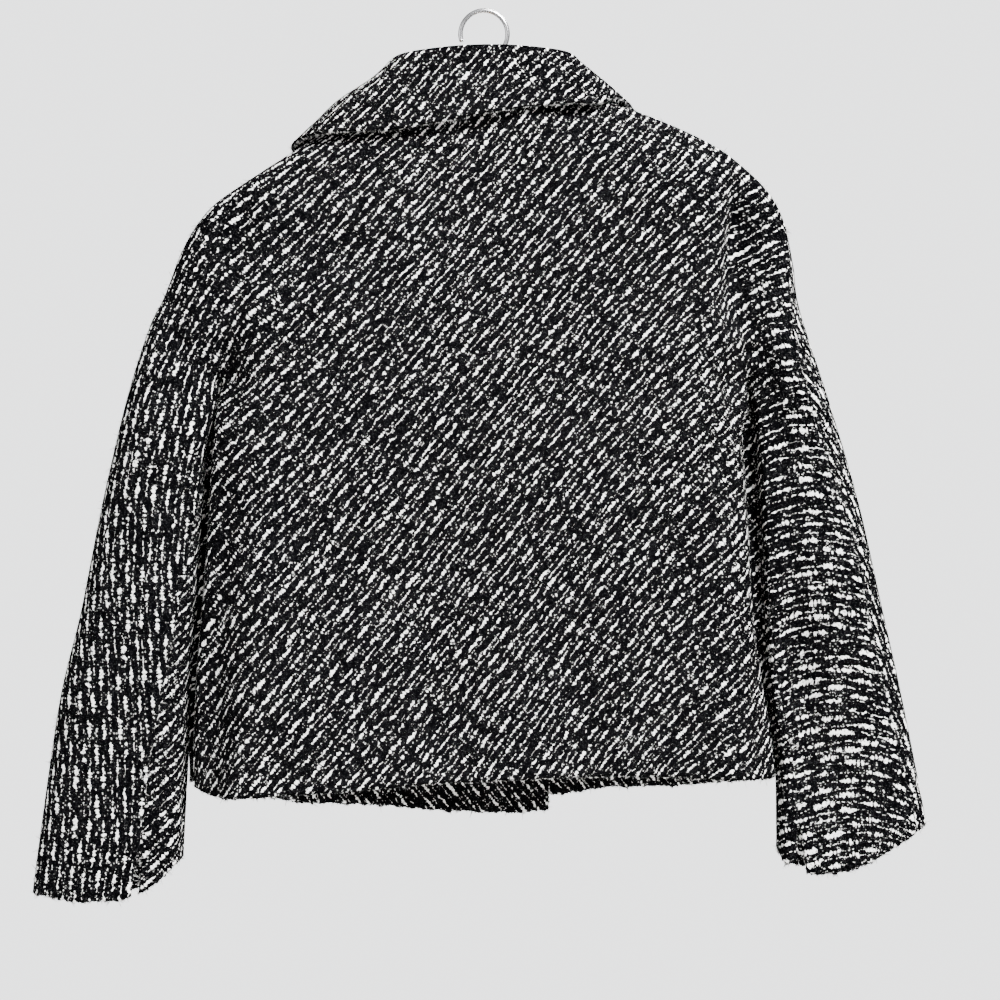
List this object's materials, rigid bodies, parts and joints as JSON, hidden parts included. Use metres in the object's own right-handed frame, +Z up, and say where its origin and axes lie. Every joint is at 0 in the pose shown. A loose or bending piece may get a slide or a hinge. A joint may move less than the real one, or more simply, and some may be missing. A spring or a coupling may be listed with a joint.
{
  "type": "pea coat on a clothes hanger",
  "caption": "Short boxy pea coat in black and white slub tweed, double-breasted, with a turned-down collar, hung on a plain wooden hanger with a steel hook.",
  "frame": {"origin": "point inside the top of the hanger's hook where a rail carries it", "axes": "+Z up, +Y towards the coat's front, so its back faces -Y, +X towards the wearer's right"},
  "size_m": [0.7658, 0.118, 0.7575],
  "materials": {
    "tweed": "matte black ground with off-white slubs",
    "horn": "polished",
    "wood": "clear satin varnish",
    "steel": "plain bright wire"
  },
  "bodies": {
    "root": {"back": "tweed", "left_front": "tweed", "right_front": "tweed", "left_under_sleeve": "tweed", "right_under_sleeve": "tweed", "left_lapel": "tweed", "right_lapel": "tweed", "collar": "tweed", "button_left_top": "horn", "button_left_middle": "horn", "button_left_bottom": "horn", "button_right_top": "horn", "button_right_middle": "horn", "button_right_bottom": "horn", "hanger": "wood", "hanger_hook": "steel"}
  },
  "joints": []
}
